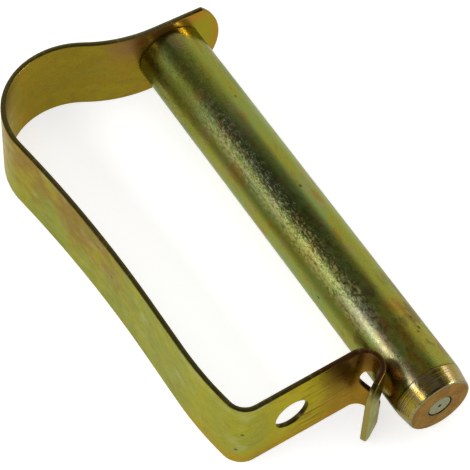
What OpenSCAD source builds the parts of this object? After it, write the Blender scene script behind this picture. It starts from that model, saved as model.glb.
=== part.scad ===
// Lynch pin: a turned pin with a folded spring strip riveted to its head.
// The pin lies along +X from its shoulder, and the strip loops round on the -Y side and closes on the pin.

/* [Pin] */
// Diameter of the pin
pin_d = 16; // [12:0.5:20]
// Length of the pin from its shoulder to its end face
pin_len = 110; // [104:1:170]
// Length of the lead-in taper at the tip
taper_len = 4.5; // [2:0.5:8]
// Drop of the taper at the end face, on the radius
taper_drop = 0.65; // [0.2:0.05:1]
// Radius that breaks the edge of the end face
edge_round = 0.5; // [0.2:0.1:0.6]
// Diameter of the turning mark on the end face
mark_d = 5.7; // [3:0.1:8]
// Depth of the turning mark
mark_depth = 0.15; // [0.05:0.05:0.5]

/* [Rivet] */
// Diameter of the tenon that goes through the strip
tenon_d = 10; // [7:0.5:11]
// Diameter of the hammered head behind the strip
rivet_d = 13.5; // [12:0.5:16]
// Height of the hammered head
rivet_h = 1.8; // [1:0.1:3]
// Play between the tenon and its hole, on the radius
tenon_play = 0.05; // [0.02:0.01:0.2]

/* [Strip] */
// Width of the strip
strip_w = 20; // [18:0.5:24]
// Thickness of the strip
strip_t = 1.25; // [0.8:0.05:1.6]
// Radius of the rounded end, round the pin's axis
plate_end_r = 13.1; // [12.5:0.1:16]
// Flat of the strip below the pin's axis, where it sits on the shoulder
plate_flat = 4.5; // [4:0.5:9]
// Radius of the neck, which leans away from the pin
neck_r = 33; // [20:1:45]
// Turn of the neck
neck_turn = 28.5; // [15:0.5:35]
// Radius of the big end loop
loop_r = 17.7; // [14:0.1:20]
// Radius of the bow along the handle
bow_r = 340; // [200:10:350]
// Turn of the bow
bow_turn = 8.4; // [4:0.2:8.4]
// Radius of the lead into the corner
lead_r = 86; // [40:1:90]
// Turn of the lead into the corner
lead_turn = 10.8; // [6:0.2:12]
// Radius of the corner
corner_r = 4.3; // [3:0.1:8]
// Lean of the closing run from square
tip_lean = 2.4; // [0:0.2:4]

/* [Lip] */
// Distance from the pin's end face back to the middle of the lip's bend
lip_back = 11.2; // [8:0.1:18]
// Radius of the lip's bend
lip_r = 3.8; // [2.5:0.1:4.5]
// Turn of the lip, outwards and back
lip_turn = 150; // [100:5:160]
// Straight length of the lip beyond its bend
lip_len = 6.2; // [4:0.1:9]
// Radius of the lip's two free corners
lip_corner_r = 3.5; // [0.5:0.1:4]
// Depth to which the pin's side dips into the lip's window
seat_dip = 0.1; // [0:0.05:0.4]

/* [Holes] */
// Diameter of the round hole in the closing run
tie_hole_d = 8; // [5:0.5:10]
// Distance of that hole from the pin's axis
tie_hole_y = 27.6; // [22:0.1:32]
// Diameter of the window punched across the lip's bend
window_d = 8; // [7:0.5:9]

/* [Hidden] */
$fn = 96;
gold = [0.62, 0.56, 0.24];
olive = [0.56, 0.52, 0.18];
// Amount by which cutting shapes pass through a face
past = 1;
// Distance by which the strip's outline may miss a true arc
chord_gap = 0.004;
pin_r = pin_d / 2;
end_face_r = pin_r - taper_drop;
taper_start = pin_len - taper_len;
// Slope of the taper's side, and how much of it the rounded edge takes up
taper_slope = atan(taper_drop / taper_len);
face_edge = edge_round * tan((90 - taper_slope) / 2);
loop_turn = 90 + neck_turn + bow_turn;
tip_heading = 90 + tip_lean;
corner_turn = tip_heading - lead_turn;
lip_outer_r = lip_r + strip_t / 2;
lip_inner_r = lip_r - strip_t / 2;

// A station is a place on the strip's middle line: [x, y, heading in degrees].
function ahead(s, len) = [s.x + len * cos(s[2]), s.y + len * sin(s[2]), s[2]];
function side(s, r) = [s.x - r * sin(s[2]), s.y + r * cos(s[2])];
function swing(s, r, turn) =
    let (k = sign(turn), c = side(s, k * r), h = s[2] + turn)
    [c.x + k * r * sin(h), c.y - k * r * cos(h), h];

plate_start = [-strip_t / 2, plate_end_r, -90];
neck_start = [-strip_t / 2, -plate_flat, -90];
loop_start = swing(neck_start, neck_r, -neck_turn);
bow_start = swing(loop_start, loop_r, loop_turn);
handle_start = swing(bow_start, bow_r, -bow_turn);
// The bend's middle sits lip_back from the pin's end and closes the loop on the pin's side.
lip_x = pin_len - lip_back;
lip_y = -(pin_r - seat_dip + lip_outer_r);
lip_start_x = lip_x - lip_r * sin(tip_heading);
lip_start_y = lip_y + lip_r * cos(tip_heading);
// The corner's shape is known before its place: the closing run and the handle take up the rest.
corner_ghost = swing(swing([0, handle_start.y, 0], lead_r, lead_turn), corner_r, corner_turn);
tip_len = (lip_start_y - corner_ghost.y) / sin(tip_heading);
handle_len = lip_start_x - tip_len * cos(tip_heading) - corner_ghost.x - handle_start.x;
lead_start = ahead(handle_start, handle_len);
corner_start = swing(lead_start, lead_r, lead_turn);
tip_start = swing(corner_start, corner_r, corner_turn);
lip_start = ahead(tip_start, tip_len);
lip_end = swing(lip_start, lip_r, -lip_turn);
tie_hole_at = ahead(tip_start, (-tie_hole_y - tip_start.y) / sin(tip_heading));

// Stations along a bend, to the left for a positive turn, fine enough to keep within chord_gap of the arc.
function along(s, r, turn) =
    let (steps = ceil(abs(turn) / (2 * acos(1 - chord_gap / r))))
    [for (i = [1 : steps]) swing(s, r, turn * i / steps)];

// The strip seen from above: its middle line, set off to both sides.
module strip_outline() {
    stations = concat(
        [plate_start, neck_start],
        along(neck_start, neck_r, -neck_turn),
        along(loop_start, loop_r, loop_turn),
        along(bow_start, bow_r, -bow_turn),
        [lead_start],
        along(lead_start, lead_r, lead_turn),
        along(corner_start, corner_r, corner_turn),
        [lip_start],
        along(lip_start, lip_r, -lip_turn),
        [ahead(lip_end, lip_len)]
    );
    last = len(stations) - 1;
    left = [for (i = [0 : last]) side(stations[i], strip_t / 2)];
    right = [for (i = [last : -1 : 0]) side(stations[i], -strip_t / 2)];
    polygon(concat(left, right));
}

// What is trimmed off the end on the pin's shoulder, to round it about the pin's axis.
module plate_trim() {
    translate([-strip_t - past, 0, 0])
        rotate([0, 90, 0])
            difference() {
                translate([-strip_w, 0, 0])
                    cube([2 * strip_w, plate_end_r + past, strip_t + 2 * past]);
                cylinder(r = plate_end_r, h = 3 * (strip_t + past), center = true);
            }
}

// What is trimmed off the lip's two free corners, to round them.
module lip_trim() {
    depth = strip_t + 2 * past;
    translate([lip_end.x, lip_end.y, 0])
        rotate([90, 0, lip_end[2]])
            for (end = [-1, 1])
                translate([lip_len - lip_corner_r, end * (strip_w / 2 - lip_corner_r), -depth / 2])
                    difference() {
                        translate([0, end > 0 ? 0 : -lip_corner_r - past, 0])
                            cube([lip_corner_r + past, lip_corner_r + past, depth]);
                        cylinder(r = lip_corner_r, h = 3 * depth, center = true);
                    }
}

// The window that was punched round in the flat strip and then bent with it, as a closed cutter.
module window_cutter() {
    steps = 48;
    inner = lip_inner_r - past;
    outer = lip_outer_r + past;
    // Place on the bend, at a radius, of a point that lay at a compass angle on the round window.
    function on_bend(radius, compass) =
        let (turned = 90 - (window_d / 2 * cos(compass)) / lip_r * 180 / PI)
        [lip_x + radius * cos(turned), lip_y + radius * sin(turned), window_d / 2 * sin(compass)];
    compass_angles = [for (i = [0 : steps - 1]) 360 * i / steps];
    points = [for (radius = [inner, outer]) for (a = compass_angles) on_bend(radius, a)];
    walls = [for (i = [0 : steps - 1])
        each [[i, (i + 1) % steps, steps + (i + 1) % steps], [i, steps + (i + 1) % steps, steps + i]]];
    // Each end of the cutter is a row of strips between points that face each other across the window.
    rows = [for (i = [0 : steps / 2 - 2]) [i, i + 1, steps - 1 - i, (steps - i) % steps]];
    inner_end = [for (q = rows) each [[q[3], q[2], q[1]], [q[3], q[1], q[0]]]];
    outer_end = [for (t = inner_end) [steps + t[2], steps + t[1], steps + t[0]]];
    last = steps / 2;
    closing = [[last + 1, last, last - 1], [steps + last - 1, steps + last, steps + last + 1]];
    polyhedron(points, concat(walls, inner_end, outer_end, closing));
}

module spring_strip() {
    color(olive)
        difference() {
            linear_extrude(strip_w, center = true)
                strip_outline();
            plate_trim();
            lip_trim();
            translate([-strip_t - past, 0, 0])
                rotate([0, 90, 0])
                    cylinder(d = tenon_d + 2 * tenon_play, h = strip_t + 2 * past);
            translate([tie_hole_at.x, tie_hole_at.y, 0])
                rotate([90, 0, tip_heading])
                    cylinder(d = tie_hole_d, h = strip_t + 2 * past, center = true);
            window_cutter();
        }
}

// Profile of the pin from its shoulder to its end face: distance along the pin, then radius.
module shank_profile() {
    face_start = end_face_r - face_edge;
    difference() {
        union() {
            polygon([
                [0, 0], [pin_len, 0], [pin_len, face_start],
                [pin_len - face_edge * cos(taper_slope), end_face_r + face_edge * sin(taper_slope)],
                [taper_start, pin_r], [0, pin_r]
            ]);
            intersection() {
                translate([pin_len - edge_round, face_start])
                    circle(edge_round);
                translate([pin_len - edge_round, 0])
                    square([edge_round, pin_r]);
            }
        }
        translate([pin_len - mark_depth, -past])
            square([mark_depth + past, mark_d / 2 + past]);
    }
}

// The room behind the strip that its neck takes as it leans away, which the hammered head leaves free.
module neck_room() {
    depth = rivet_h + 2 * past;
    difference() {
        translate([-strip_t - depth + past, -plate_flat - strip_w, -strip_w / 2])
            cube([depth, strip_w, strip_w]);
        translate([neck_start.x - neck_r, neck_start.y, 0])
            cylinder(r = neck_r - strip_t / 2 - tenon_play, h = 2 * strip_w, center = true);
    }
}

// The hammered head behind the strip: a low dome, thinner at its rim where the neck leans into it.
module rivet_head() {
    rivet_r = rivet_d / 2;
    dome_r = (rivet_r * rivet_r + rivet_h * rivet_h) / (2 * rivet_h);
    difference() {
        intersection() {
            translate([dome_r - rivet_h - strip_t, 0, 0])
                sphere(dome_r);
            translate([-strip_t - rivet_h - past, 0, 0])
                rotate([0, 90, 0])
                    cylinder(r = rivet_r + past, h = rivet_h + past);
        }
        neck_room();
    }
}

module pin() {
    color(gold) {
        rotate([0, 90, 0])
            rotate_extrude()
                rotate([0, 0, 90])
                    mirror([0, 1])
                        shank_profile();
        translate([-strip_t, 0, 0])
            rotate([0, 90, 0])
                cylinder(d = tenon_d, h = strip_t);
        rivet_head();
    }
}

pin();
spring_strip();
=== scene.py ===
"""Visual model of a lynch pin: a turned pin with a folded spring strip riveted to its head."""

import functools
import math

import bmesh
import bpy
from bpy.props import FloatProperty, FloatVectorProperty, PointerProperty
from mathutils import Matrix, Quaternion, Vector


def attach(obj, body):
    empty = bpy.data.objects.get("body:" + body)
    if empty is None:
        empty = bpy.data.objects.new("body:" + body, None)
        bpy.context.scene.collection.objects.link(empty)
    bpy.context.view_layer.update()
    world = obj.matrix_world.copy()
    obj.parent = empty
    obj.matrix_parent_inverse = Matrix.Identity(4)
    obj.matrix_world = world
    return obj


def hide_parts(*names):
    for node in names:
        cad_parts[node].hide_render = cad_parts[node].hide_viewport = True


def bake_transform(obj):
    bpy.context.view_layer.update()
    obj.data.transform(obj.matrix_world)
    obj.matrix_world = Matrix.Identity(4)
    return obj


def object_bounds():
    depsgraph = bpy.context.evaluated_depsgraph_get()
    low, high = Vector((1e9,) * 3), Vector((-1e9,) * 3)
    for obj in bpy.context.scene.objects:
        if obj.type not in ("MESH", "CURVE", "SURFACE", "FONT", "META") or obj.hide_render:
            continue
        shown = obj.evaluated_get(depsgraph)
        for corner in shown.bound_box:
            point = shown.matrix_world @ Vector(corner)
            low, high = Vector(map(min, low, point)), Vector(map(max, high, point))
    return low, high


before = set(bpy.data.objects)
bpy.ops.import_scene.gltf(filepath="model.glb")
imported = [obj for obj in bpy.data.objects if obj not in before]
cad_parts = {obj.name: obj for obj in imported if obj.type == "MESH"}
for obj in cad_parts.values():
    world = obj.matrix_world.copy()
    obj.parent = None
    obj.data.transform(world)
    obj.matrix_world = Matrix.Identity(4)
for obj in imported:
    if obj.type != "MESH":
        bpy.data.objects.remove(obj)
CAD_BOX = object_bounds()

bl_info = {
    "name": "Lynch Pin",
    "version": (1, 0, 0),
    "blender": (4, 5, 0),
    "location": "View3D > Sidebar > Lynch Pin",
    "description": "Builds a plated lynch pin with a folded spring strip",
    "category": "Add Mesh",
}

MM = 0.001

# Dents in the strip's plating, in millimetres: along the strip, across it, and radius
DENTS = (
    (104, 17, 0.5),
    (109, 12, 0.6),
    (155, 5, 0.5),
    (156, 11, 0.5),
    (181, 12, 0.5),
)

# Nicks in the pin's plating, in millimetres: along the pin, sideways, up, and radius
NICKS = (
    (52, 2, 8, 0.6),
    (92, 4, 7, 0.5),
    (95, 4, 7, 0.6),
    (96, 3, 7, 0.7),
)

# Stretches of the strip, in millimetres from its riveted end: start, end and blur
# Orange painted reflection of the pin, on the plate above it
HEAD_PAINTED_REFLECTION = (2, 11, 2.5)
HEAD_BROWN = (9, 27, 5)
NECK = (15, 27, 5)
LOOP_END = (46, 66, 6)
TAN_STRETCH = (58, 112, 9)
HANDLE = (66, 163, 8)
CORNER = (138, 160, 6)
ORANGE_EDGE = (140, 180, 6)
GOLD_RUN = (162, 177, 4)
PULLED_RUN = (168, 184, 3)
BROWN_EDGE = (173, 198, 3)
ORANGE_RUN = (176, 190, 4)
# Brown painted shade beside the pin, on the run and the lip's bend
RUN_PAINTED_SHADE = (178, 190, 4)
LIP_BEND_PAINTED_SHADE = (188, 194, 2)

# Where tints of the strip come in, in millimetres from its riveted end: from none to full
PLATE_RIM = (3.2, 0.8)
PLATE = (13, 8)
GLOSSY_PLATE = (24, 15)
LIP_FACE = (193, 196)
LIP_EDGE = (196.5, 199)

# The same across the strip, in millimetres from its lower edge
UPPER_HALF = (10, 18)
UPPER_EDGE = (15, 19)
LOWER_EDGE = (5, 0.5)
OFF_LOWER_EDGE = (2, 6)

# The tan's ragged edge: how far noise pushes the place across, and the same two values for that place
RAGGED_PUSH = 26
RAGGED_EDGE = (18, 26)

# Stretches of the pin, in millimetres from its shoulder: start, end and blur
NEAR_HEAD = (4, 24, 5)
DULL_STRETCH = (6, 89, 5)
SATIN_HEAD = (9, 24, 5)
# Worn stretches along the lamp's streak, where the pale tints are partly a painted highlight
RUBBED_AND_HIGHLIGHT_STRETCH = (22, 90, 8)
# Dark painted reflection along the pin's top
PAINTED_DARK_TOP_STRETCH = (28, 84, 8)
WORN_AND_HIGHLIGHT_STRETCH = (54, 84, 8)
BROWN_STRETCH = (80, 103, 6)

# Where tints of the pin come in, in millimetres from its shoulder: from none to full
# Faint orange painted reflection of the plate, on the pin by its shoulder
SHOULDER_PAINTED_REFLECTION = (9, 1)
HEAD_GRAIN = (34, 20)
# The far side painted lighter near the head
PAINTED_BRIGHT_HEAD = (44, 20)
RUBBED_AND_HIGHLIGHT_MORE = (25, 80)
SATIN_TIP = (60, 78)
GOLD_TIP = (70, 98)
# Pale painted highlight along the lamp's streak, towards the tip
PAINTED_HIGHLIGHT_TIP = (74, 88)
ORANGE_TIP = (78, 100)

# Sides of the pin, as directions out from its axis
# The worn side lies along the lamp's streak, where its pale tints also paint the highlight
RUBBED_AND_HIGHLIGHT_SIDE = (0.0, -0.57, 0.822)
HANDLE_SIDE = (0.0, -0.84, 0.54)
TOP_SIDE = (0.0, -0.1, 0.995)
FAR_SIDE = (0.0, 0.33, 0.944)

# How far the plating is metal: on the strip, under the brown by the head, and on the pin
STRIP_METAL = 0.95
BROWN_METAL = 0.5
PIN_METAL = 0.98

# Tint of the shine at glancing angles
STRIP_GLANCE = (0.82, 0.8, 0.5)
PIN_GLANCE = (0.68, 0.7, 0.6)

# Lamps, in metres: place, the point that it faces, and its two sizes
STREAK_LAMP = ((0.1, -0.343, 0.276), (0.1, 0.0, 0.0), (0.46, 0.08))
SIDE_LAMP = ((0.17, 0.39, 0.225), (0.17, 0.0, 0.0), (0.3, 0.1))
TIP_PANEL = ((-0.03, -0.04, 0.49), (-0.03, 0.0, 0.0), (0.24, 0.42))
GLINT_LAMP = ((0.31, 0.385, 0.233), (0.0, 0.0, 0.0), (0.1, 0.1))
HEAD_PANEL = ((-0.2, 0.055, 0.19), (0.0, 0.0, 0.0), (0.16, 0.21))
FILL_LAMP = ((0.05, 0.0, 0.9), (0.05, 0.0, 0.0), (1.2, 1.2))

# The dark roof: the direction of its middle, and how far towards it the walls start and end to darken
ROOF_SIDE = (0.3, -0.1, 1.0)
ROOF_EDGE = (0.26, 0.73)

# Steps of the round shapes
SPIN_STEPS = 144
DOME_STEPS = 12
PLATE_STEPS = 192
HOLE_STEPS = 72
CORNER_STEPS = 8
SHOULDER_STEPS = 3
TAPER_STEPS = 4
END_STEPS = 5

# Edges that turn more than this are shaded sharp
SHARP_TURN = math.radians(35)

# Score lines across the blank: the widest gap between two, and the most that the strip turns at one
WIDEST_FOLD = 2.0 * MM
SHARPEST_FOLD = math.radians(3.5)

# Borders round the blank's edges, as shares of the edges' rounding
BORDERS = (0.3, 1.0, 2.6)

# Tolerances, in metres: for finding a place on a mesh, for merging points, and for cutting
NEAR = 1e-6
MERGED = 1e-7
CUT_NEAR = 1e-8

# The least turn that counts as a bend
LEAST_SWING = 1e-9

# From the floor's middle to its sides, in metres
FLOOR_REACH = 3.0


def length(name, description, millimetres):
    """A size property with its default given in millimetres."""
    return FloatProperty(
        name=name, description=description, default=millimetres * MM, min=0.0, unit="LENGTH", precision=5
    )


def turn(name, description, degrees):
    """A turn of a bend, with its default given in degrees."""
    return FloatProperty(
        name=name, description=description, default=math.radians(degrees), subtype="ANGLE", precision=3
    )


def colour(name, description, red, green, blue):
    """A plating colour, as the share of light it throws back."""
    return FloatVectorProperty(
        name=name, description=description, default=(red, green, blue), min=0.0, max=1.0, size=3,
        subtype="COLOR",
    )


def strength(name, description, level):
    """The strength of a glow."""
    return FloatProperty(name=name, description=description, default=level, min=0.0, subtype="FACTOR")


def power(name, description, watts):
    """The power of a lamp."""
    return FloatProperty(name=name, description=description, default=watts, min=0.0, unit="POWER")


def point(name, description, place):
    """A place in the scene."""
    return FloatVectorProperty(
        name=name, description=description, default=place, subtype="XYZ", unit="LENGTH", precision=5
    )


class PinSizes(bpy.types.PropertyGroup):
    """Sizes of the turned pin and its riveted head."""

    diameter: length("Pin diameter", "Diameter of the pin", 16)
    reach: length("Pin length", "From the shoulder to the end face", 110)
    taper: length("Taper length", "Length of the lead-in taper", 4.5)
    taper_drop: length("Taper drop", "Drop of the taper on the radius", 0.65)
    shoulder_break: length("Shoulder break", "Break of the shoulder's edge", 0.25)
    taper_blend: length("Taper blend", "Softening where the taper starts", 0.5)
    end_break: length("End break", "Rounding of the end face's edge", 0.45)
    mark_diameter: length("Mark diameter", "Diameter of the turning mark", 5.7)
    mark_depth: length("Mark depth", "Depth of the turning mark", 0.13)
    groove_width: length("Groove width", "Width of the groove round the mark", 0.22)
    groove_depth: length("Groove depth", "Depth of the groove round the mark", 0.24)
    centre_diameter: length("Centre diameter", "Diameter of the lathe centre's dot", 0.8)
    centre_depth: length("Centre depth", "Depth of the lathe centre's dot", 0.35)
    tenon: length("Tenon diameter", "Diameter of the tenon", 10)
    rivet: length("Rivet diameter", "Diameter of the hammered head", 13.5)
    rivet_height: length("Rivet height", "Height of the hammered head", 1.8)
    guard: length("Guard", "Width of the narrow band beside each rounded edge", 0.3)


class StripSizes(bpy.types.PropertyGroup):
    """Sizes of the spring strip, along its middle line from the riveted end."""

    width: length("Width", "Width of the strip", 20)
    thickness: length("Thickness", "Thickness of the strip", 1.25)
    edge_round: length("Edge rounding", "Rounding of the sheared edges", 0.2)
    plate_end: length("Plate end radius", "Radius of the rounded end about the pin", 13.1)
    plate_corner: length("Plate corner", "Rounding of the plate's two corners", 0.7)
    plate_flat: length("Plate flat", "Flat below the pin's axis", 4.5)
    neck_radius: length("Neck radius", "Radius of the neck", 33)
    neck_turn: turn("Neck turn", "Turn of the neck, away from the pin", 28.5)
    loop_radius: length("Loop radius", "Radius of the big loop", 17.7)
    loop_turn: turn("Loop turn", "Turn of the big loop", 126.9)
    bow_radius: length("Bow radius", "Radius of the bowed handle", 340)
    bow_turn: turn("Bow turn", "Turn of the bowed handle", 8.4)
    handle: length("Handle straight", "Straight length of the handle", 13.22503)
    lead_radius: length("Lead radius", "Radius of the lead into the corner", 86)
    lead_turn: turn("Lead turn", "Turn of the lead into the corner", 10.8)
    corner_radius: length("Corner radius", "Radius of the corner", 4.3)
    corner_turn: turn("Corner turn", "Turn of the corner", 81.6)
    closing_run: length("Closing run", "Straight run from the corner to the lip", 24.16453)
    lip_radius: length("Lip radius", "Radius of the lip's bend", 3.8)
    lip_turn: turn("Lip turn", "Turn of the lip, outwards and back", 150)
    lip_rise: turn("Lip rise", "Turn of the lip up to its middle", 92.4)
    lip_straight: length("Lip straight", "Straight length of the lip", 6.2)
    lip_corner: length("Lip corner", "Radius of the lip's free corners", 3.5)
    tenon_hole: length("Tenon hole", "Diameter of the hole for the tenon", 10.1)
    tie_hole: length("Tie hole", "Diameter of the round hole", 8)
    tie_hole_along: length("Tie hole place", "From the corner's end to the hole's middle", 9.0354)
    window: length("Window", "Diameter of the window across the lip's bend", 8)


class PlatingColours(bpy.types.PropertyGroup):
    """Colours of the yellow plating, some of which also paint highlights, reflections and shade."""

    gold: colour("Gold", "Olive gold of the inner loop", 0.22, 0.16, 0.012)
    yellow_green: colour("Yellow green", "Yellow green along the handle", 0.215, 0.235, 0.042)
    tan: colour("Tan", "Pinkish tan patches", 0.205, 0.112, 0.028)
    lime: colour("Lime", "Bright lime yellow patches", 0.29, 0.265, 0.015)
    run_gold: colour("Run gold", "Gold of the closing run, corner and taper", 0.42, 0.35, 0.012)
    olive: colour("Olive", "Dark olive near the pin's head", 0.15, 0.155, 0.02)
    moss: colour("Moss", "Dull green patches", 0.16, 0.185, 0.035)
    orange: colour("Orange", "Orange tints near the bends and ends", 0.36, 0.15, 0.015)
    plate_red_brown: colour("Rust", "Red brown tint by the pin's head", 0.2, 0.07, 0.02)
    # Also paints the shade beside the pin, on the run and the lip's bend
    brown: colour("Brown", "Red brown of thick plating", 0.075, 0.02, 0.008)
    sheared: colour("Sheared edge", "Olive brown of the sheared edges", 0.085, 0.07, 0.02)
    lip_edge: colour("Lip edge", "Pale tan of the lip's edge and of chips", 0.24, 0.195, 0.055)
    pin_green: colour("Pin green", "Pale green of the pin", 0.215, 0.275, 0.065)
    pin_gold: colour("Pin gold", "Yellow gold of the pin", 0.265, 0.265, 0.035)
    pin_pink: colour("Pin pink", "Pinkish tan patches on the pin", 0.31, 0.235, 0.11)
    pin_orange: colour("Pin orange", "Orange patches on the pin", 0.3, 0.155, 0.025)
    # Also the dark painted reflection along the pin's top
    grain_and_dark_reflection: colour("Grain green", "Dark green of grain and of the pin's top", 0.055, 0.08, 0.022)
    # Also the pale painted highlight along the pin's streak and on its taper
    pale_scuff_and_highlight: colour("Scuffed", "Pale metal in the scuffs and smudges", 0.48, 0.52, 0.38)
    # Also paints the streak's highlight pale gold towards the tip
    worn_and_highlight_gold: colour("Worn gold", "Pale gold of the scuffs near the tip", 0.58, 0.5, 0.2)
    rim_pale: colour("Rim", "Pale line round the end face", 0.22, 0.21, 0.12)
    face_copper: colour("Face copper", "Copper tan of the end face", 0.19, 0.077, 0.004)
    mark_grey: colour("Mark grey", "Pale grey of the turning mark", 0.24, 0.235, 0.14)
    dark_spot: colour("Dark spot", "Dark brown of pits, spots and lines", 0.03, 0.022, 0.01)


class StageLook(bpy.types.PropertyGroup):
    """Floor, light and camera."""

    floor: colour("Floor", "Colour of the floor", 0.7, 0.7, 0.7)
    floor_glow: strength("Floor glow", "Light that comes through the floor", 0.98)
    wall_light: strength("Wall light", "Light of the pale walls", 0.95)
    roof_light: strength("Roof light", "Light of the dark roof", 0.03)
    streak_power: power("Streak power", "Power of the lamp that draws the streak", 0.7)
    side_power: power("Side power", "Power of the lamp behind the pin", 0.45)
    panel_power: power("Panel power", "Power of the faint panel over the tip", 0.065)
    glint_power: power("Glint power", "Power of the lamp that glints at the head", 1.1)
    head_power: power("Head panel power", "Power of the faint panel by the head", 0.028)
    fill_power: power("Fill power", "Power of the soft overhead fill", 3.0)
    aim: point("Camera aim", "Point the camera looks at", (0.05158, -0.01405, 0.0))
    stand: point("Camera place", "Where the camera stands", (0.29274, -0.18012, 0.40454))
    roll: turn("Camera roll", "Roll of the camera about its own axis", 3.834)
    lens: FloatProperty(
        name="Lens", description="Focal length of the camera, in millimetres", default=176.1, min=10.0,
        unit="CAMERA",
    )


# Bmesh helpers


def new_piece(name, bm, material):
    """Puts a finished bmesh into the scene as one smooth-shaded piece."""
    for face in bm.faces:
        face.smooth = True
    mesh = bpy.data.meshes.new(name)
    bm.to_mesh(mesh)
    bm.free()
    piece = bpy.data.objects.new(name, mesh)
    bpy.context.scene.collection.objects.link(piece)
    mesh.materials.append(material)
    return piece


def ring_edges(bm, along, radius):
    """The edges of the circle at that place along the pin and that radius."""

    def on_ring(v):
        return abs(v.co.x - along) < NEAR and abs(math.hypot(v.co.y, v.co.z) - radius) < NEAR

    return [e for e in bm.edges if all(on_ring(v) for v in e.verts)]


def break_edge(bm, along, radius, size, segments):
    """Rounds one turned edge of the pin."""
    bmesh.ops.bevel(
        bm, geom=ring_edges(bm, along, radius), offset=size, offset_type="OFFSET", segments=segments,
        profile=0.5, affect="EDGES", clamp_overlap=True, material=-1,
    )


def sharpen(bm, limit):
    """Marks the edges that turn more than the limit, so that shading stops there."""
    for edge in bm.edges:
        edge.smooth = edge.calc_face_angle(0.0) < limit


# Node helpers


def add_node(tree, kind, values=None, **settings):
    """A new node with its settings, and its sockets' values by name or number."""
    node = tree.nodes.new(kind)
    for key, value in settings.items():
        setattr(node, key, value)
    for socket, value in (values or {}).items():
        node.inputs[socket].default_value = value
    return node


def spread(tree, source, low, high, to_low=0.0, to_high=1.0):
    """Softly maps a value's band from low to high onto another band."""
    node = add_node(
        tree, "ShaderNodeMapRange", {1: low, 2: high, 3: to_low, 4: to_high},
        interpolation_type="SMOOTHSTEP",
    )
    tree.links.new(source, node.inputs[0])
    return node.outputs[0]


def combined(tree, operation, first, second):
    """Two values put together by a sum or a product. A value is a socket or a number."""
    node = add_node(tree, "ShaderNodeMath", operation=operation)
    for socket, value in zip(node.inputs, (first, second)):
        if isinstance(value, (int, float)):
            socket.default_value = value
        else:
            tree.links.new(value, socket)
    return node.outputs[0]


def times(tree, *factors):
    """The product of some values."""
    return functools.reduce(lambda first, second: combined(tree, "MULTIPLY", first, second), factors)


def plus(tree, *terms):
    """The sum of some values."""
    return functools.reduce(lambda first, second: combined(tree, "ADD", first, second), terms)


def tint(tree, share, under, over):
    """Lays one colour over another by a share. A colour is a socket or three numbers."""
    node = add_node(tree, "ShaderNodeMix", data_type="RGBA", blend_type="MIX")
    tree.links.new(share, node.inputs[0])
    for socket, value in ((node.inputs[6], under), (node.inputs[7], over)):
        if isinstance(value, bpy.types.NodeSocket):
            tree.links.new(value, socket)
        else:
            socket.default_value = (*value, 1.0)
    return node.outputs[2]


def glaze(tree, shade, colour_over, *shares):
    """Lays a colour over a shade by the product of some shares."""
    return tint(tree, times(tree, *shares), shade, colour_over)


def axes(tree, place):
    """The three parts of a coordinate."""
    parts = add_node(tree, "ShaderNodeSeparateXYZ")
    tree.links.new(place, parts.inputs[0])
    return parts.outputs[0], parts.outputs[1], parts.outputs[2]


def placed(tree, source, scale=(1.0, 1.0, 1.0), shift=(0.0, 0.0, 0.0)):
    """A coordinate, stretched and shifted."""
    node = add_node(tree, "ShaderNodeMapping", {"Scale": scale, "Location": shift})
    tree.links.new(source, node.inputs["Vector"])
    return node.outputs[0]


def clouds(tree, place, scale, detail=3.0, roughness=0.55):
    """Soft noise at a scale given per millimetre."""
    node = add_node(tree, "ShaderNodeTexNoise", {"Scale": scale, "Detail": detail, "Roughness": roughness})
    tree.links.new(place, node.inputs["Vector"])
    return node.outputs["Fac"]


def specks(tree, place, scale, size):
    """Sparse round specks: one at each cell's middle, for the few cells that draw one."""
    cells = add_node(tree, "ShaderNodeTexVoronoi", {"Scale": scale})
    tree.links.new(place, cells.inputs["Vector"])
    draw = add_node(tree, "ShaderNodeSeparateColor")
    tree.links.new(cells.outputs["Color"], draw.inputs[0])
    spot = spread(tree, cells.outputs["Distance"], size, size * 0.4)
    return times(tree, spot, spread(tree, draw.outputs[0], 0.9, 0.92))


def fibres(tree, place, scale, width):
    """Thin curling lines, along which soft noise passes through its middle value."""
    off = add_node(tree, "ShaderNodeMath", {1: 0.5}, operation="SUBTRACT")
    tree.links.new(clouds(tree, place, scale, 2.0), off.inputs[0])
    gap = add_node(tree, "ShaderNodeMath", operation="ABSOLUTE")
    tree.links.new(off.outputs[0], gap.inputs[0])
    return spread(tree, gap.outputs[0], width, width * 0.2)


def dent(tree, place, middle, size):
    """One small mark round its middle."""
    gap = add_node(tree, "ShaderNodeVectorMath", {1: middle}, operation="DISTANCE")
    tree.links.new(place, gap.inputs[0])
    return spread(tree, gap.outputs["Value"], size, size * 0.4)


def facing(tree, place, direction):
    """How far a place lies out towards a direction."""
    reach = add_node(tree, "ShaderNodeVectorMath", {1: direction}, operation="DOT_PRODUCT")
    tree.links.new(place, reach.inputs[0])
    return reach.outputs["Value"]


def zone(tree, source, start, end, blur):
    """1 between two places, falling softly to 0 on both sides."""
    rise = spread(tree, source, start - blur, start + blur)
    fall = spread(tree, source, end - blur, end + blur, 1.0, 0.0)
    return times(tree, rise, fall)


def bumped(tree, height, depth, distance):
    """A normal from a height."""
    node = add_node(tree, "ShaderNodeBump", {"Strength": depth, "Distance": distance})
    tree.links.new(height, node.inputs["Height"])
    return node.outputs[0]


def plated_metal(name, metal, glancing):
    """A metal, its node tree and its shader, with a tint for its shine at glancing angles."""
    material = bpy.data.materials.new(name)
    material.use_nodes = True
    tree = material.node_tree
    shader = tree.nodes["Principled BSDF"]
    shader.inputs["Metallic"].default_value = metal
    shader.inputs["Specular Tint"].default_value = (*glancing, 1.0)
    return material, tree, shader


# Finishes


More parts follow.
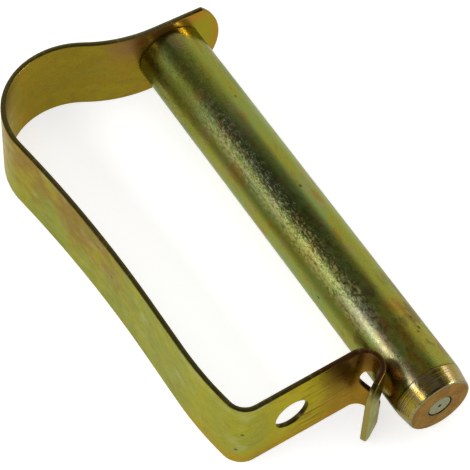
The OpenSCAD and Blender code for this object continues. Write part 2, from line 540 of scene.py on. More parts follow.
def strip_body(tree, colours, place, broad, mottle, dusting):
    """The strip's greens and golds, with its clouds of tan and brown and its pale smudges."""
    along, across, _ = axes(tree, place)
    patches = clouds(tree, placed(tree, place, (0.75, 1.0, 1.0), (40.0, 7.0, 0.0)), 0.15)
    smudges = clouds(tree, placed(tree, place, (0.7, 1.0, 1.0), (21.0, 33.0, 0.0)), 0.22, 2.0)
    smudges = times(tree, spread(tree, smudges, 0.53, 0.68), spread(tree, across, *OFF_LOWER_EDGE))
    ragged = spread(tree, plus(tree, across, times(tree, broad, RAGGED_PUSH)), *RAGGED_EDGE)
    handle = zone(tree, along, *HANDLE)
    lively = plus(tree, times(tree, handle, 0.4), 0.2)

    shade = tint(tree, handle, colours.gold, colours.yellow_green)
    shade = glaze(tree, shade, colours.tan, zone(tree, along, *TAN_STRETCH), ragged)
    shade = glaze(tree, shade, colours.lime, spread(tree, patches, 0.48, 0.64), lively)
    shade = glaze(tree, shade, colours.moss, spread(tree, patches, 0.46, 0.34), lively, 0.7)
    shade = glaze(tree, shade, colours.run_gold, zone(tree, along, *GOLD_RUN), 0.6)
    low_edge = spread(tree, across, *LOWER_EDGE)
    shade = glaze(tree, shade, colours.orange, zone(tree, along, *ORANGE_EDGE), low_edge, 0.5)
    shade = glaze(tree, shade, colours.tan, spread(tree, mottle, 0.52, 0.7), 0.5)
    shade = glaze(tree, shade, colours.brown, spread(tree, dusting, 0.48, 0.32), 0.2)
    return glaze(tree, shade, colours.pale_scuff_and_highlight, smudges, handle, 0.16)


def strip_bends(tree, colours, shade, place, broad, mottle, head_brown):
    """Orange, gold and brown tints on the plate, by the bends and round the lip, with an orange painted
    reflection of the pin on the plate and brown painted shade beside the pin.
    """
    along, across, _ = axes(tree, place)
    loop_end = spread(tree, mottle, 0.4, 0.62)
    neck = spread(tree, broad, 0.4, 0.6)
    upper_edge = spread(tree, across, *UPPER_EDGE)
    upper_half = spread(tree, across, *UPPER_HALF)

    shade = glaze(tree, shade, colours.orange, zone(tree, along, *LOOP_END), loop_end, 0.4)
    shade = glaze(tree, shade, colours.orange, zone(tree, along, *NECK), neck, 0.2)
    shade = glaze(tree, shade, colours.lime, spread(tree, along, *PLATE), 0.6)
    # red brown over the plate's upper half by the pin's head, with less metal there
    shade = glaze(tree, shade, colours.plate_red_brown, head_brown, 0.7)
    # orange painted reflection of the pin on the plate above it
    shade = glaze(tree, shade, colours.orange, zone(tree, along, *HEAD_PAINTED_REFLECTION), upper_edge, 0.7)
    shade = glaze(tree, shade, colours.orange, spread(tree, along, *PLATE_RIM), 0.55)
    shade = glaze(tree, shade, colours.run_gold, zone(tree, along, *CORNER), 0.2)
    shade = glaze(tree, shade, colours.orange, zone(tree, along, *ORANGE_RUN), 0.45)
    # brown painted shade beside the pin, on the run's upper half and on the lip's bend
    shade = glaze(tree, shade, colours.brown, zone(tree, along, *RUN_PAINTED_SHADE), upper_half, 0.85)
    shade = glaze(tree, shade, colours.brown, zone(tree, along, *LIP_BEND_PAINTED_SHADE), 0.75)
    return glaze(tree, shade, colours.moss, spread(tree, along, *LIP_FACE), 0.7)


def strip_marks(tree, colours, shade, place, along):
    """Lines pulled by the lip's bend, specks and dents."""
    pulled = clouds(tree, placed(tree, place, (0.12, 1.6, 1.0), (0.0, 13.0, 0.0)), 0.9)
    pulled = times(tree, spread(tree, pulled, 0.53, 0.63), zone(tree, along, *PULLED_RUN))
    shade = glaze(tree, shade, colours.brown, pulled, 0.65)
    shade = glaze(tree, shade, colours.dark_spot, specks(tree, place, 0.12, 0.08), 0.6)
    for spot_along, spot_across, size in DENTS:
        mark = dent(tree, place, (spot_along, spot_across, 0.0), size)
        shade = glaze(tree, shade, colours.dark_spot, mark, 0.8)
    return shade


def cut_edge(tree, colours, along, dusting):
    """The colour of the sheared edges: chipped, brown towards the lip and pale on the lip."""
    shade = glaze(tree, colours.sheared, colours.brown, zone(tree, along, *BROWN_EDGE), 0.7)
    shade = glaze(tree, shade, colours.lip_edge, spread(tree, dusting, 0.56, 0.7), 0.5)
    return glaze(tree, shade, colours.lip_edge, spread(tree, along, *LIP_EDGE))


def strip_finish(colours, strip_length):
    """Yellow plating on rolled spring steel, by the place on the flat strip in millimetres."""
    material, tree, shader = plated_metal("strip_plating_finish", STRIP_METAL, STRIP_GLANCE)
    blank = add_node(tree, "ShaderNodeUVMap", uv_map="blank")
    edge = add_node(tree, "ShaderNodeAttribute", attribute_name="sheared", attribute_type="GEOMETRY")
    sheared = edge.outputs["Fac"]
    grow = strip_length / MM
    place = placed(tree, blank.outputs[0], (grow, grow, grow))
    along, across, _ = axes(tree, place)
    broad = clouds(tree, placed(tree, place, (0.8, 1.0, 1.0)), 0.11)
    mottle = clouds(tree, placed(tree, place, (0.8, 1.0, 1.0), (9.0, 60.0, 0.0)), 0.4, 4.0, 0.62)
    dusting = clouds(tree, placed(tree, place, shift=(3.0, 17.0, 0.0)), 1.5, 3.0, 0.65)
    head_brown = times(tree, zone(tree, along, *HEAD_BROWN), spread(tree, across, *UPPER_HALF))

    shade = strip_body(tree, colours, place, broad, mottle, dusting)
    shade = strip_bends(tree, colours, shade, place, broad, mottle, head_brown)
    shade = strip_marks(tree, colours, shade, place, along)
    shade = glaze(tree, shade, cut_edge(tree, colours, along, dusting), spread(tree, sheared, 0.3, 0.95))
    tree.links.new(shade, shader.inputs["Base Color"])
    metal = spread(tree, head_brown, 0.0, 1.0, STRIP_METAL, BROWN_METAL)
    tree.links.new(metal, shader.inputs["Metallic"])

    satin = clouds(tree, placed(tree, place, (0.6, 1.0, 1.0)), 0.5)
    gloss = plus(
        tree,
        spread(tree, satin, 0.3, 0.7, 0.26, 0.38),
        spread(tree, along, *GLOSSY_PLATE, 0.0, -0.1),
        times(tree, sheared, 0.04),
    )
    tree.links.new(gloss, shader.inputs["Roughness"])
    rolled = clouds(tree, placed(tree, place, (0.06, 1.0, 1.0)), 2.2)
    grain = clouds(tree, place, 4.0, 2.0)
    height = plus(tree, times(tree, rolled, 0.25), times(tree, grain, 0.6))
    tree.links.new(bumped(tree, height, 0.2, 0.06 * MM), shader.inputs["Normal"])
    return material


def pin_body(tree, colours, place, radius, patches, blooms, grain):
    """The pin's greens and golds, its patches of pink and orange, and the tints towards its ends, with
    painted light: an orange reflection by the shoulder, a dark reflection along the top, and a lighter far
    side near the head.
    """
    along = axes(tree, place)[0]
    broad = clouds(tree, placed(tree, place, (0.3, 1.0, 1.0)), 0.16)
    near_half = spread(tree, facing(tree, place, FAR_SIDE), radius * 0.985, radius * 0.92)
    painted_bright_half = spread(tree, near_half, 1.0, 0.0)
    top = spread(tree, facing(tree, place, TOP_SIDE), radius * 0.93, radius * 0.99)
    green_grain = times(tree, spread(tree, along, *HEAD_GRAIN), near_half, spread(tree, grain, 0.5, 0.36))
    olive_blooms = spread(tree, blooms, 0.6, 0.4, 0.1, 0.6)
    end_blooms = spread(tree, blooms, 0.44, 0.6)
    end_patches = spread(tree, patches, 0.5, 0.4)

    shade = tint(tree, spread(tree, broad, 0.42, 0.62), colours.pin_green, colours.pin_gold)
    shade = glaze(tree, shade, colours.pin_gold, spread(tree, along, *GOLD_TIP), 0.7)
    shade = glaze(tree, shade, colours.pin_gold, spread(tree, patches, 0.52, 0.66), 0.7)
    shade = glaze(tree, shade, colours.pin_pink, spread(tree, patches, 0.46, 0.36), 0.6)
    shade = glaze(tree, shade, colours.pin_orange, spread(tree, blooms, 0.54, 0.66), 0.7)
    shade = glaze(tree, shade, colours.pin_green, spread(tree, blooms, 0.46, 0.36), 0.6)
    # faint orange painted reflection of the plate on the pin by its shoulder
    shade = glaze(tree, shade, colours.orange, spread(tree, along, *SHOULDER_PAINTED_REFLECTION), 0.15)
    # near the head the near half takes olive and grain, and the far half is painted lighter with lime
    shade = glaze(tree, shade, colours.olive, zone(tree, along, *NEAR_HEAD), near_half, olive_blooms)
    shade = glaze(tree, shade, colours.lime, spread(tree, along, *PAINTED_BRIGHT_HEAD), painted_bright_half, 0.35)
    shade = glaze(tree, shade, colours.grain_and_dark_reflection, green_grain, 0.5)
    # dark green painted reflection along the pin's top
    shade = glaze(tree, shade, colours.grain_and_dark_reflection, top, zone(tree, along, *PAINTED_DARK_TOP_STRETCH), 0.35)
    shade = glaze(tree, shade, colours.orange, spread(tree, along, *ORANGE_TIP), end_blooms, 0.5)
    shade = glaze(tree, shade, colours.brown, zone(tree, along, *BROWN_STRETCH), end_patches, 0.5)
    return glaze(tree, shade, colours.dark_spot, spread(tree, grain, 0.46, 0.3), 0.35)


def pin_strokes_and_highlight(tree, place, rubbed_and_highlight, hairs):
    """Fine curling scratches, long and short, along the lamp's streak on the worn side."""
    long_hairs = fibres(tree, placed(tree, place, (0.7, 1.3, 1.3), (2.0, 0.0, 9.0)), 0.8, 0.04)
    short_hairs = fibres(tree, placed(tree, place, (0.9, 1.1, 1.1), (8.0, 4.0, 0.0)), 1.4, 0.05)
    return times(tree, plus(tree, long_hairs, short_hairs), rubbed_and_highlight, spread(tree, hairs, 0.42, 0.55))


def pin_scuffs_and_highlight(tree, colours, shade, along, rubbed_and_highlight, hairs, scuffs, strokes):
    """Pale scuffs and scratches on the worn side, gold towards the tip, with dark green between them. That
    side lies along the lamp's streak, so the pale tints there are partly a painted highlight.
    """
    # pale scuffs, partly wear and partly a painted highlight, pale gold towards the tip
    bare_and_highlight = tint(tree, zone(tree, along, *WORN_AND_HIGHLIGHT_STRETCH), colours.pale_scuff_and_highlight, colours.worn_and_highlight_gold)
    shade = glaze(tree, shade, bare_and_highlight, rubbed_and_highlight, 0.1)
    shade = glaze(tree, shade, bare_and_highlight, scuffs, 0.75)
    shade = glaze(tree, shade, bare_and_highlight, strokes, 0.5)
    return glaze(tree, shade, colours.grain_and_dark_reflection, rubbed_and_highlight, spread(tree, hairs, 0.49, 0.39), 0.8)


def pin_marks(tree, colours, shade, place, shank):
    """Pits along the shank, and a few nicks."""
    pits = specks(tree, placed(tree, place, (0.6, 1.0, 1.0)), 0.42, 0.14)
    shade = glaze(tree, shade, colours.dark_spot, pits, shank, 0.8)
    for *middle, size in NICKS:
        shade = glaze(tree, shade, colours.dark_spot, dent(tree, place, middle, size), 0.85)
    return shade


def pin_taper(tree, colours, shade, turned, painted_highlight, blooms, taper_line):
    """The warmer tints of the turned taper, a pale painted highlight on it, and the dark line where it
    starts.
    """
    shade = glaze(tree, shade, colours.pin_orange, turned, 0.55)
    shade = glaze(tree, shade, colours.run_gold, turned, 0.2)
    shade = glaze(tree, shade, colours.pin_pink, turned, spread(tree, blooms, 0.42, 0.58))
    # pale painted highlight on the taper
    shade = glaze(tree, shade, colours.pale_scuff_and_highlight, turned, painted_highlight, 0.3)
    return glaze(tree, shade, colours.dark_spot, taper_line, 0.75)


def pin_end_face(tree, colours, shade, place, sizes, patches, grain):
    """The end face: its pale rim, its copper tan, and the grey turning mark with a dark line and dot."""
    along = axes(tree, place)[0]
    reach = add_node(tree, "ShaderNodeVectorMath", operation="LENGTH")
    tree.links.new(placed(tree, place, (0.0, 1.0, 1.0)), reach.inputs[0])
    out = reach.outputs["Value"]
    pin_end = sizes.reach / MM
    face_r = (sizes.diameter / 2 - sizes.taper_drop - sizes.end_break) / MM
    mark_r = sizes.mark_diameter / 2 / MM
    groove_w = sizes.groove_width / MM
    dot_r = sizes.centre_diameter / 2 / MM
    at_rim = spread(tree, along, pin_end - 0.4, pin_end - 0.3)
    at_face = spread(tree, along, pin_end - 0.2, pin_end - 0.05)
    at_mark = spread(tree, along, pin_end - 1, pin_end - 0.6)
    warm = spread(tree, patches, 0.42, 0.62, 0.0, 0.6)
    copper = tint(tree, warm, colours.face_copper, colours.pin_orange)
    mark_line = zone(tree, out, mark_r - groove_w, mark_r + groove_w * 0.7, 0.1)

    shade = glaze(tree, shade, colours.rim_pale, at_rim, spread(tree, out, face_r - 0.3, face_r))
    shade = glaze(tree, shade, copper, at_face, spread(tree, out, face_r + 0.2, face_r + 0.05))
    shade = glaze(tree, shade, colours.mark_grey, at_mark, spread(tree, out, mark_r, mark_r - 0.1))
    shade = glaze(tree, shade, colours.dark_spot, at_mark, spread(tree, grain, 0.5, 0.36), 0.45)
    shade = glaze(tree, shade, colours.dark_spot, at_mark, mark_line)
    return glaze(tree, shade, colours.dark_spot, at_mark, spread(tree, out, dot_r * 1.5, dot_r * 0.8))


def pin_finish(colours, sizes):
    """Yellow plating on a drawn bar with a turned end, by the place on the pin in millimetres."""
    material, tree, shader = plated_metal("pin_plating_finish", PIN_METAL, PIN_GLANCE)
    spot = add_node(tree, "ShaderNodeTexCoord")
    grow = 1.0 / MM
    place = placed(tree, spot.outputs["Object"], (grow, grow, grow))
    along = axes(tree, place)[0]
    radius = sizes.diameter / 2 / MM
    taper_start = (sizes.reach - sizes.taper) / MM

    patches = clouds(tree, placed(tree, place, (0.5, 1.0, 1.0), (30.0, 0.0, 11.0)), 0.24, 4.0, 0.6)
    blooms = clouds(tree, placed(tree, place, (0.35, 1.0, 1.0), (70.0, 5.0, 2.0)), 0.4, 4.0, 0.6)
    grain = clouds(tree, place, 2.8, 3.0, 0.6)
    hairs = clouds(tree, placed(tree, place, (0.8, 1.9, 1.9), (5.0, 0.0, 3.0)), 1.1, 4.0, 0.66)
    # the worn side, along the lamp's streak: its pale tints are partly a painted highlight
    rubbed_and_highlight_side = facing(tree, place, RUBBED_AND_HIGHLIGHT_SIDE)
    rubbed_and_highlight = times(
        tree,
        spread(tree, rubbed_and_highlight_side, radius * 0.89, radius * 0.985),
        zone(tree, along, *RUBBED_AND_HIGHLIGHT_STRETCH),
        spread(tree, along, *RUBBED_AND_HIGHLIGHT_MORE, 0.6, 1.0),
    )
    scuffs = times(tree, rubbed_and_highlight, spread(tree, hairs, 0.56, 0.7))
    strokes = pin_strokes_and_highlight(tree, place, rubbed_and_highlight, hairs)
    # pale painted highlight along the lamp's streak, towards the tip
    painted_highlight = spread(tree, rubbed_and_highlight_side, radius * 0.97, radius * 0.995)
    painted_highlight = times(tree, painted_highlight, spread(tree, along, *PAINTED_HIGHLIGHT_TIP))
    shank = zone(tree, along, 0, taper_start - 1, 1)
    turned = spread(tree, along, taper_start - 0.15, taper_start + 0.15)
    taper_line = zone(tree, along, taper_start - 0.2, taper_start + 0.05, 0.12)

    shade = pin_body(tree, colours, place, radius, patches, blooms, grain)
    shade = pin_scuffs_and_highlight(tree, colours, shade, along, rubbed_and_highlight, hairs, scuffs, strokes)
    shade = pin_marks(tree, colours, shade, place, shank)
    # pale painted highlight on the lamp's streak
    shade = glaze(tree, shade, colours.pale_scuff_and_highlight, painted_highlight, 0.32)
    shade = pin_taper(tree, colours, shade, turned, painted_highlight, blooms, taper_line)
    shade = pin_end_face(tree, colours, shade, place, sizes, patches, grain)
    tree.links.new(shade, shader.inputs["Base Color"])

    satin = clouds(tree, place, 0.8, 4.0, 0.65)
    dulled = spread(tree, facing(tree, place, HANDLE_SIDE), radius * 0.945, radius * 0.985)
    gloss = plus(
        tree,
        spread(tree, satin, 0.3, 0.7, 0.15, 0.26),
        times(tree, scuffs, 0.25),
        times(tree, strokes, 0.12),
        times(tree, zone(tree, along, *SATIN_HEAD), 0.06),
        times(tree, spread(tree, along, *SATIN_TIP), 0.07),
        times(tree, dulled, zone(tree, along, *DULL_STRETCH), 0.2),
        times(tree, turned, -0.05),
    )
    tree.links.new(gloss, shader.inputs["Roughness"])
    rings = clouds(tree, placed(tree, place, (3.5, 0.02, 0.02)), 1.0, 2.0)
    height = plus(
        tree, times(tree, grain, 0.5), times(tree, rings, turned, 2.5), times(tree, hairs, rubbed_and_highlight, 0.65)
    )
    tree.links.new(bumped(tree, height, 0.35, 0.12 * MM), shader.inputs["Normal"])
    return material


# Pieces


def turn_pin(sizes, colours, plate):
    """The pin, spun from its profile: hammered head, tenon, shoulder, shank, taper and marked end face."""
    bm = bmesh.new()
    radius = sizes.diameter / 2
    end = sizes.reach
    end_radius = radius - sizes.taper_drop
    rivet = sizes.rivet / 2
    tenon = sizes.tenon / 2
    mark = sizes.mark_diameter / 2
    taper_start = end - sizes.taper
    guard = sizes.guard

    def cone(along):
        return along, radius - sizes.taper_drop * (along - taper_start) / sizes.taper

    dome = (rivet**2 + sizes.rivet_height**2) / (2 * sizes.rivet_height)
    rim = bm.verts.new((-plate, 0.0, rivet))
    crown = bmesh.ops.spin(
        bm, geom=[rim], cent=(-plate + dome - sizes.rivet_height, 0.0, 0.0), axis=(0.0, -1.0, 0.0),
        angle=math.asin(rivet / dome), steps=DOME_STEPS, use_merge=False, use_duplicate=False,
    )
    apex = next(v for v in crown["geom_last"] if isinstance(v, bmesh.types.BMVert))
    apex.co.z = 0.0
    corners = (
        (-plate, tenon),
        (0.0, tenon),
        (0.0, radius),
        (sizes.shoulder_break + guard, radius),
        (taper_start - sizes.taper_blend - guard, radius),
        (taper_start, radius),
        cone(taper_start + sizes.taper_blend + guard),
        cone(end - sizes.end_break - guard),
        (end, end_radius),
        (end, end_radius - sizes.end_break - guard),
        (end, mark + guard),
        (end, mark),
        (end - sizes.groove_depth, mark - sizes.groove_width * 0.3),
        (end - sizes.mark_depth, mark - sizes.groove_width),
        (end - sizes.mark_depth, mark - sizes.groove_width - guard),
        (end - sizes.mark_depth, sizes.centre_diameter / 2 + guard),
        (end - sizes.mark_depth, sizes.centre_diameter / 2),
        (end - sizes.mark_depth - sizes.centre_depth, 0.0),
    )
    last = rim
    for along, out in corners:
        corner = bm.verts.new((along, 0.0, out))
        bm.edges.new((last, corner))
        last = corner
    bmesh.ops.spin(
        bm, geom=bm.verts[:] + bm.edges[:], cent=(0.0, 0.0, 0.0), axis=(1.0, 0.0, 0.0), angle=math.tau,
        steps=SPIN_STEPS, use_merge=True, use_duplicate=False,
    )
    bmesh.ops.remove_doubles(bm, verts=bm.verts[:], dist=MERGED)
    bmesh.ops.recalc_face_normals(bm, faces=bm.faces[:])
    break_edge(bm, 0.0, radius, sizes.shoulder_break, SHOULDER_STEPS)
    break_edge(bm, taper_start, radius, sizes.taper_blend, TAPER_STEPS)
    break_edge(bm, end, end_radius, sizes.end_break, END_STEPS)
    sharpen(bm, SHARP_TURN)
    piece = new_piece("turned_pin", bm, pin_finish(colours, sizes))
    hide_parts("pin")
    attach(piece, "pin")


def strip_runs(sizes):
    """The strip's runs along its middle line: length, and turn, to the left where positive."""
    return (
        (sizes.plate_end + sizes.plate_flat, 0.0),
        (sizes.neck_radius * sizes.neck_turn, -sizes.neck_turn),
        (sizes.loop_radius * sizes.loop_turn, sizes.loop_turn),
        (sizes.bow_radius * sizes.bow_turn, -sizes.bow_turn),
        (sizes.handle, 0.0),
        (sizes.lead_radius * sizes.lead_turn, sizes.lead_turn),
        (sizes.corner_radius * sizes.corner_turn, sizes.corner_turn),
        (sizes.closing_run, 0.0),
        (sizes.lip_radius * sizes.lip_turn, -sizes.lip_turn),
        (sizes.lip_straight, 0.0),
    )


def station(runs, start, along):
    """Place and heading on the middle line at a distance along it."""
    x, y, heading = start
    for size, bend in runs:
        step = min(max(along, 0.0), size) if (size, bend) != runs[-1] else max(along, 0.0)
        swing = bend * step / size
        if abs(swing) > LEAST_SWING:
            chord = 2 * size / bend * math.sin(swing / 2)
            x += chord * math.cos(heading + swing / 2)
            y += chord * math.sin(heading + swing / 2)
        else:
            x += step * math.cos(heading)
            y += step * math.sin(heading)
        heading += swing
        along -= size
        if along <= 0.0:
            break
    return x, y, heading


def fold_lines(runs):
    """Where the flat blank is scored across for folding: close together in the tight bends."""
    lines, reached = [], 0.0
    for size, bend in runs:
        count = max(math.ceil(size / WIDEST_FOLD), math.ceil(abs(bend) / SHARPEST_FOLD))
        lines += [reached + size * i / count for i in range(1, count + 1)]
        reached += size
    return lines[:-1]


def punch_places(sizes, runs):
    """The round holes in the flat blank: middle along the strip, and radius."""
    corner_end = sum(size for size, _ in runs[:7])
    lip_start = sum(size for size, _ in runs[:8])
    return (
        (sizes.plate_end, sizes.tenon_hole / 2),
        (corner_end + sizes.tie_hole_along, sizes.tie_hole / 2),
        (lip_start + sizes.lip_radius * sizes.lip_rise, sizes.window / 2),
    )


def cut_blank(bm, sizes, strip_length, holes):
    """The flat blank, with no thickness yet: rounded end, straight sides, lip corners and holes."""
    half = sizes.width / 2
    bmesh.ops.create_circle(
        bm, cap_ends=True, segments=PLATE_STEPS, radius=sizes.plate_end,
        matrix=Matrix.Translation((sizes.plate_end, 0.0, 0.0)),
    )
    for spot, outwards in (
        ((sizes.plate_end, 0.0, 0.0), (1.0, 0.0, 0.0)),
        ((0.0, half, 0.0), (0.0, 1.0, 0.0)),
        ((0.0, -half, 0.0), (0.0, -1.0, 0.0)),
    ):
        bmesh.ops.bisect_plane(
            bm, geom=bm.verts[:] + bm.edges[:] + bm.faces[:], dist=CUT_NEAR, plane_co=spot,
            plane_no=outwards, clear_outer=True,
        )
    chord = [e for e in bm.edges if all(abs(v.co.x - sizes.plate_end) < NEAR for v in e.verts)]
    pulled = bmesh.ops.extrude_edge_only(bm, edges=chord)
    drawn = [v for v in pulled["geom"] if isinstance(v, bmesh.types.BMVert)]
    bmesh.ops.translate(bm, verts=drawn, vec=(strip_length - sizes.plate_end, 0.0, 0.0))
    bmesh.ops.dissolve_edges(bm, edges=[e for e in bm.edges if len(e.link_faces) == 2], use_verts=True)
    plate_corner = min(v.co.x for v in bm.verts if abs(v.co.y) > half - NEAR)
    for spot, size in ((plate_corner, sizes.plate_corner), (strip_length, sizes.lip_corner)):
        tips = [v for v in bm.verts if abs(v.co.x - spot) < NEAR and abs(v.co.y) > half - NEAR]
        bmesh.ops.bevel(
            bm, geom=tips, offset=size, offset_type="OFFSET", segments=CORNER_STEPS, profile=0.5,
            affect="VERTICES", clamp_overlap=True, material=-1,
        )
    bmesh.ops.delete(bm, geom=bm.faces[:], context="FACES_ONLY")
    bmesh.ops.remove_doubles(bm, verts=bm.verts[:], dist=NEAR)
    for middle, radius in holes:
        there = Matrix.Translation((middle, 0.0, 0.0))
        bmesh.ops.create_circle(bm, cap_ends=False, segments=HOLE_STEPS, radius=radius, matrix=there)
    bmesh.ops.triangle_fill(
        bm, edges=bm.edges[:], use_beauty=True, use_dissolve=False, normal=(0.0, 0.0, 1.0)
    )


def score_blank(bm, sizes, lines):
    """Borders round every edge of the blank, score lines across it, and nothing else left between them."""
    border = bm.faces.layers.int.new("border")
    reached = 0.0
    for inset in BORDERS:
        rim = bmesh.ops.inset_region(
            bm, faces=[f for f in bm.faces if not f[border]], use_boundary=True, use_even_offset=True,
            thickness=(inset - reached) * sizes.edge_round, depth=0.0,
        )
        for face in rim["faces"]:
            face[border] = 1
        reached = inset
    for line in lines:
        bmesh.ops.bisect_plane(
            bm, geom=bm.verts[:] + bm.edges[:] + bm.faces[:], dist=CUT_NEAR, plane_co=(line, 0.0, 0.0),
            plane_no=(1.0, 0.0, 0.0),
        )
    spare = [
        e for e in bm.edges
        if len(e.link_faces) == 2
        and not any(f[border] for f in e.link_faces)
        and abs(e.verts[0].co.x - e.verts[1].co.x) > MERGED
    ]
    bmesh.ops.dissolve_edges(bm, edges=spare, use_verts=True)
    for face in bm.faces:
        face.normal_update()
        if face.normal.z < 0.0:
            face.normal_flip()


def room_to_edge(sizes, strip_length, holes, along, across):
    """How far a place on the flat blank is from the nearest cut edge."""
    half = sizes.width / 2
    room = min(half - abs(across), strip_length - along)
    if along < sizes.plate_end:
        room = min(room, sizes.plate_end - math.hypot(along - sizes.plate_end, across))
    lip = sizes.lip_corner
    past, beyond = along - (strip_length - lip), abs(across) - (half - lip)
    if past > 0.0 and beyond > 0.0:
        room = min(room, lip - math.hypot(past, beyond))
    for middle, radius in holes:
        room = min(room, math.hypot(along - middle, across) - radius)
    return max(room, 0.0)


def fold_strip(sizes, colours):
    """The spring strip: a punched flat blank with rounded edges, folded along its runs."""
    runs = strip_runs(sizes)
    strip_length = sum(size for size, _ in runs)
    holes = punch_places(sizes, runs)
    bm = bmesh.new()
    cut_blank(bm, sizes, strip_length, holes)
    score_blank(bm, sizes, fold_lines(runs))
    bmesh.ops.solidify(bm, geom=bm.faces[:], thickness=sizes.thickness)
    middle = sum(v.co.z for v in bm.verts) / len(bm.verts)
    sheared = bm.verts.layers.float.new("sheared")
    blank = bm.loops.layers.uv.new("blank")
    for face in bm.faces:
        for loop in face.loops:
            spot = loop.vert.co
            loop[blank].uv = (spot.x / strip_length, (spot.y + sizes.width / 2) / strip_length)
    half = sizes.thickness / 2
    rounding = sizes.edge_round
    start = (-half, sizes.plate_end, -math.pi / 2)
    for vert in bm.verts:
        along, across, level = vert.co.x, vert.co.y, vert.co.z - middle
        room = room_to_edge(sizes, strip_length, holes, along, across)
        short = max(rounding - room, 0.0)
        vert[sheared] = short / rounding
        drop = rounding - math.sqrt(max(rounding**2 - short**2, 0.0))
        lift = math.copysign(half - drop, level)
        x, y, heading = station(runs, start, along)
        vert.co = (x - lift * math.sin(heading), y + lift * math.cos(heading), across)
    bmesh.ops.recalc_face_normals(bm, faces=bm.faces[:])
    piece = new_piece("folded_strip", bm, strip_finish(colours, strip_length))
    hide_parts("spring_strip")
    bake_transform(piece)


# Stage


def set_floor(look):
    """A pale floor under the part, with a little light through it."""
    bm = bmesh.new()
    bmesh.ops.create_grid(bm, x_segments=1, y_segments=1, size=FLOOR_REACH)
    bmesh.ops.translate(bm, verts=bm.verts[:], vec=(0.0, 0.0, CAD_BOX[0][2]))
    material = bpy.data.materials.new("pale_floor")
    material.use_nodes = True
    shader = material.node_tree.nodes["Principled BSDF"]
    shader.inputs["Base Color"].default_value = (*look.floor, 1.0)
    shader.inputs["Roughness"].default_value = 0.9
    shader.inputs["Specular IOR Level"].default_value = 0.1
    shader.inputs["Emission Color"].default_value = (*look.floor, 1.0)
    shader.inputs["Emission Strength"].default_value = look.floor_glow
    new_piece("floor", bm, material)


def set_walls(look):
    """Pale walls all round that darken towards the roof."""
    world = bpy.data.worlds.new("studio")
    world.use_nodes = True
    tree = world.node_tree
    backdrop = tree.nodes["Background"]
    where = add_node(tree, "ShaderNodeTexCoord")
    towards_roof = facing(tree, where.outputs["Generated"], ROOF_SIDE)
    level = spread(tree, towards_roof, *ROOF_EDGE, look.wall_light, look.roof_light)
    tree.links.new(level, backdrop.inputs["Strength"])
    backdrop.inputs["Color"].default_value = (1.0, 1.0, 1.0, 1.0)
    bpy.context.scene.world = world


def set_lamp(name, place, aim, size, watts, glints=True, lights=True):
    """A soft rectangular lamp, which may be kept out of the plating's shine or off dull surfaces."""
    lamp = bpy.data.lights.new(name, "AREA")
    lamp.shape = "RECTANGLE"
    lamp.size, lamp.size_y = size
    lamp.energy = watts
    lamp_object = bpy.data.objects.new(name, lamp)
    lamp_object.location = place
    lamp_object.rotation_euler = (Vector(aim) - Vector(place)).to_track_quat("-Z", "Y").to_euler()
    lamp_object.visible_glossy = glints
    lamp_object.visible_diffuse = lights
    bpy.context.scene.collection.objects.link(lamp_object)


def set_camera(look):
    """The camera at the photograph's view."""
    camera = bpy.data.cameras.new("camera")
    camera.lens = look.lens
    camera.sensor_width = 36.0
    camera.clip_start = 0.01
    stand = bpy.data.objects.new("camera", camera)
    stand.location = look.stand
    gaze = (Vector(look.aim) - Vector(look.stand)).to_track_quat("-Z", "Y")
    stand.rotation_mode = "QUATERNION"
    stand.rotation_quaternion = gaze @ Quaternion((0.0, 0.0, 1.0), look.roll)
    bpy.context.scene.collection.objects.link(stand)
    bpy.context.scene.camera = stand


# Operators, panel and registration


class LYNCHPIN_OT_turn_pin(bpy.types.Operator):
    """Turn the pin, with its riveted head and marked end face"""

    bl_idname = "lynchpin.turn_pin"
    bl_label = "Turn the Pin"

    def execute(self, context):
        scene = context.scene
        turn_pin(scene.lynch_pin_pin, scene.lynch_pin_plating, scene.lynch_pin_strip.thickness)
        return {"FINISHED"}


class LYNCHPIN_OT_fold_strip(bpy.types.Operator):
    """Cut, punch and fold the spring strip"""

    bl_idname = "lynchpin.fold_strip"
    bl_label = "Fold the Strip"

    def execute(self, context):
        scene = context.scene
        fold_strip(scene.lynch_pin_strip, scene.lynch_pin_plating)
        return {"FINISHED"}


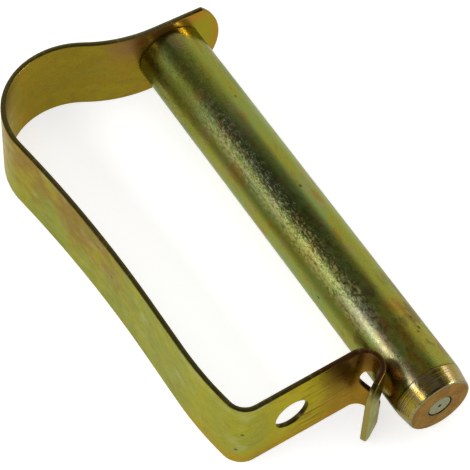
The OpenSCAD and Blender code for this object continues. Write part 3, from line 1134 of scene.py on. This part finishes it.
class LYNCHPIN_OT_set_stage(bpy.types.Operator):
    """Set the floor, the light and the camera"""

    bl_idname = "lynchpin.set_stage"
    bl_label = "Set the Stage"

    def execute(self, context):
        look = context.scene.lynch_pin_stage
        context.scene.view_settings.view_transform = "Standard"
        set_floor(look)
        set_walls(look)
        set_lamp("streak_lamp", *STREAK_LAMP, look.streak_power)
        set_lamp("side_lamp", *SIDE_LAMP, look.side_power, lights=False)
        set_lamp("tip_panel", *TIP_PANEL, look.panel_power)
        set_lamp("glint_lamp", *GLINT_LAMP, look.glint_power, lights=False)
        set_lamp("head_panel", *HEAD_PANEL, look.head_power, lights=False)
        set_lamp("fill_lamp", *FILL_LAMP, look.fill_power, glints=False)
        set_camera(look)
        return {"FINISHED"}


class LYNCHPIN_PT_sidebar(bpy.types.Panel):
    """Sizes and colours of the lynch pin, and a button for each piece"""

    bl_idname = "LYNCHPIN_PT_sidebar"
    bl_label = "Lynch Pin"
    bl_space_type = "VIEW_3D"
    bl_region_type = "UI"
    bl_category = "Lynch Pin"

    def draw(self, context):
        scene = context.scene
        for group, operator in (
            (scene.lynch_pin_pin, LYNCHPIN_OT_turn_pin),
            (scene.lynch_pin_strip, LYNCHPIN_OT_fold_strip),
            (scene.lynch_pin_plating, None),
            (scene.lynch_pin_stage, LYNCHPIN_OT_set_stage),
        ):
            box = self.layout.box()
            for key in group.__annotations__:
                box.prop(group, key)
            if operator:
                box.operator(operator.bl_idname)


GROUPS = {
    "lynch_pin_pin": PinSizes,
    "lynch_pin_strip": StripSizes,
    "lynch_pin_plating": PlatingColours,
    "lynch_pin_stage": StageLook,
}
CLASSES = (
    *GROUPS.values(),
    LYNCHPIN_OT_turn_pin,
    LYNCHPIN_OT_fold_strip,
    LYNCHPIN_OT_set_stage,
    LYNCHPIN_PT_sidebar,
)


def register():
    """Registers the classes and puts the properties on the scene."""
    for each in CLASSES:
        bpy.utils.register_class(each)
    for name, group in GROUPS.items():
        setattr(bpy.types.Scene, name, PointerProperty(type=group))


def unregister():
    """Takes the properties and the classes away again."""
    for name in GROUPS:
        delattr(bpy.types.Scene, name)
    for each in reversed(CLASSES):
        bpy.utils.unregister_class(each)


def main():
    """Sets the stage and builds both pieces."""
    register()
    bpy.ops.lynchpin.set_stage()
    bpy.ops.lynchpin.turn_pin()
    bpy.ops.lynchpin.fold_strip()


if __name__ == "__main__":
    main()
